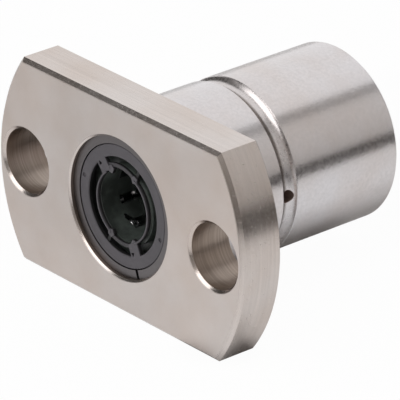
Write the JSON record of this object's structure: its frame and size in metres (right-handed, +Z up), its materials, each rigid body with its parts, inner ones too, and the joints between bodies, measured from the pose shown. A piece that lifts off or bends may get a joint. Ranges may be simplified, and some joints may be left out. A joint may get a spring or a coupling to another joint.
{
  "type": "torque-resistant linear bushing",
  "caption": "Flanged linear ball bushing that takes torque: flange with flats and bolt holes, grooved round barrel, sealed bore with recirculating balls for a grooved shaft.",
  "frame": {"origin": "on the bore axis, in the plane of the flange's seat face, where the barrel leaves the flange", "axes": "+Y along the bore axis from the flange towards the barrel's free end, +X across the two bolt holes to the right seen from the flange front, +Z up through the flats"},
  "size_m": [0.06, 0.047, 0.036],
  "materials": {
    "nut_steel": "ground",
    "ring_steel": "dark satin",
    "seal_rubber": "matte",
    "cage_plastic": "moulded",
    "ball_steel": "polished"
  },
  "bodies": {
    "nut_unit": {"flanged_nut": "nut_steel", "ball_retainer": "cage_plastic", "front_return_cap": "cage_plastic", "rear_return_cap": "cage_plastic", "front_seal": "seal_rubber", "rear_seal": "seal_rubber", "front_retaining_ring": "ring_steel", "rear_retaining_ring": "ring_steel"},
    "load_row_upper_right": {"load_balls_upper_right": "ball_steel"},
    "return_row_upper_right": {"return_balls_upper_right": "ball_steel"},
    "front_turn_upper_right": {"front_turn_balls_upper_right": "ball_steel"},
    "rear_turn_upper_right": {"rear_turn_balls_upper_right": "ball_steel"},
    "load_row_upper_left": {"load_balls_upper_left": "ball_steel"},
    "return_row_upper_left": {"return_balls_upper_left": "ball_steel"},
    "front_turn_upper_left": {"front_turn_balls_upper_left": "ball_steel"},
    "rear_turn_upper_left": {"rear_turn_balls_upper_left": "ball_steel"},
    "load_row_lower_left": {"load_balls_lower_left": "ball_steel"},
    "return_row_lower_left": {"return_balls_lower_left": "ball_steel"},
    "front_turn_lower_left": {"front_turn_balls_lower_left": "ball_steel"},
    "rear_turn_lower_left": {"rear_turn_balls_lower_left": "ball_steel"},
    "load_row_lower_right": {"load_balls_lower_right": "ball_steel"},
    "return_row_lower_right": {"return_balls_lower_right": "ball_steel"},
    "front_turn_lower_right": {"front_turn_balls_lower_right": "ball_steel"},
    "rear_turn_lower_right": {"rear_turn_balls_lower_right": "ball_steel"}
  },
  "joints": [
    {"name": "load_travel_upper_right", "type": "slide", "parent": "nut_unit", "child": "load_row_upper_right", "axis": [0, 1, 0], "range_m": [-0.0012, 0.0012]},
    {"name": "return_travel_upper_right", "type": "slide", "parent": "nut_unit", "child": "return_row_upper_right", "axis": [0, 1, 0], "range_m": [-0.0012, 0.0012]},
    {"name": "front_turn_travel_upper_right", "type": "hinge", "parent": "nut_unit", "child": "front_turn_upper_right", "pos_m": [0.00572, 0.0002, 0.00488], "axis": [0.6144, 0, 0.789], "range_deg": [-23.76, 23.76]},
    {"name": "rear_turn_travel_upper_right", "type": "hinge", "parent": "nut_unit", "child": "rear_turn_upper_right", "pos_m": [0.00572, 0.0308, 0.00488], "axis": [-0.6144, 0, -0.789], "range_deg": [-23.76, 23.76]},
    {"name": "load_travel_upper_left", "type": "slide", "parent": "nut_unit", "child": "load_row_upper_left", "axis": [0, 1, 0], "range_m": [-0.0012, 0.0012]},
    {"name": "return_travel_upper_left", "type": "slide", "parent": "nut_unit", "child": "return_row_upper_left", "axis": [0, 1, 0], "range_m": [-0.0012, 0.0012]},
    {"name": "front_turn_travel_upper_left", "type": "hinge", "parent": "nut_unit", "child": "front_turn_upper_left", "pos_m": [-0.00572, 0.0002, 0.00488], "axis": [0.6144, 0, -0.789], "range_deg": [-23.76, 23.76]},
    {"name": "rear_turn_travel_upper_left", "type": "hinge", "parent": "nut_unit", "child": "rear_turn_upper_left", "pos_m": [-0.00572, 0.0308, 0.00488], "axis": [-0.6144, 0, 0.789], "range_deg": [-23.76, 23.76]},
    {"name": "load_travel_lower_left", "type": "slide", "parent": "nut_unit", "child": "load_row_lower_left", "axis": [0, 1, 0], "range_m": [-0.0012, 0.0012]},
    {"name": "return_travel_lower_left", "type": "slide", "parent": "nut_unit", "child": "return_row_lower_left", "axis": [0, 1, 0], "range_m": [-0.0012, 0.0012]},
    {"name": "front_turn_travel_lower_left", "type": "hinge", "parent": "nut_unit", "child": "front_turn_lower_left", "pos_m": [-0.00572, 0.0002, -0.00488], "axis": [-0.6144, 0, -0.789], "range_deg": [-23.76, 23.76]},
    {"name": "rear_turn_travel_lower_left", "type": "hinge", "parent": "nut_unit", "child": "rear_turn_lower_left", "pos_m": [-0.00572, 0.0308, -0.00488], "axis": [0.6144, 0, 0.789], "range_deg": [-23.76, 23.76]},
    {"name": "load_travel_lower_right", "type": "slide", "parent": "nut_unit", "child": "load_row_lower_right", "axis": [0, 1, 0], "range_m": [-0.0012, 0.0012]},
    {"name": "return_travel_lower_right", "type": "slide", "parent": "nut_unit", "child": "return_row_lower_right", "axis": [0, 1, 0], "range_m": [-0.0012, 0.0012]},
    {"name": "front_turn_travel_lower_right", "type": "hinge", "parent": "nut_unit", "child": "front_turn_lower_right", "pos_m": [0.00572, 0.0002, -0.00488], "axis": [-0.6144, 0, 0.789], "range_deg": [-23.76, 23.76]},
    {"name": "rear_turn_travel_lower_right", "type": "hinge", "parent": "nut_unit", "child": "rear_turn_lower_right", "pos_m": [0.00572, 0.0308, -0.00488], "axis": [0.6144, 0, -0.789], "range_deg": [-23.76, 23.76]}
  ],
  "couplings": [
    {"joint": "return_travel_upper_right", "follows": "load_travel_upper_right", "ratio": -1},
    {"joint": "front_turn_travel_upper_right", "follows": "load_travel_upper_right", "rad_per_m": -341.27},
    {"joint": "rear_turn_travel_upper_right", "follows": "load_travel_upper_right", "rad_per_m": 341.27},
    {"joint": "return_travel_upper_left", "follows": "load_travel_upper_left", "ratio": -1},
    {"joint": "front_turn_travel_upper_left", "follows": "load_travel_upper_left", "rad_per_m": -341.27},
    {"joint": "rear_turn_travel_upper_left", "follows": "load_travel_upper_left", "rad_per_m": 341.27},
    {"joint": "return_travel_lower_left", "follows": "load_travel_lower_left", "ratio": -1},
    {"joint": "front_turn_travel_lower_left", "follows": "load_travel_lower_left", "rad_per_m": -341.27},
    {"joint": "rear_turn_travel_lower_left", "follows": "load_travel_lower_left", "rad_per_m": 341.27},
    {"joint": "return_travel_lower_right", "follows": "load_travel_lower_right", "ratio": -1},
    {"joint": "front_turn_travel_lower_right", "follows": "load_travel_lower_right", "rad_per_m": -341.27},
    {"joint": "rear_turn_travel_lower_right", "follows": "load_travel_lower_right", "rad_per_m": 341.27}
  ]
}
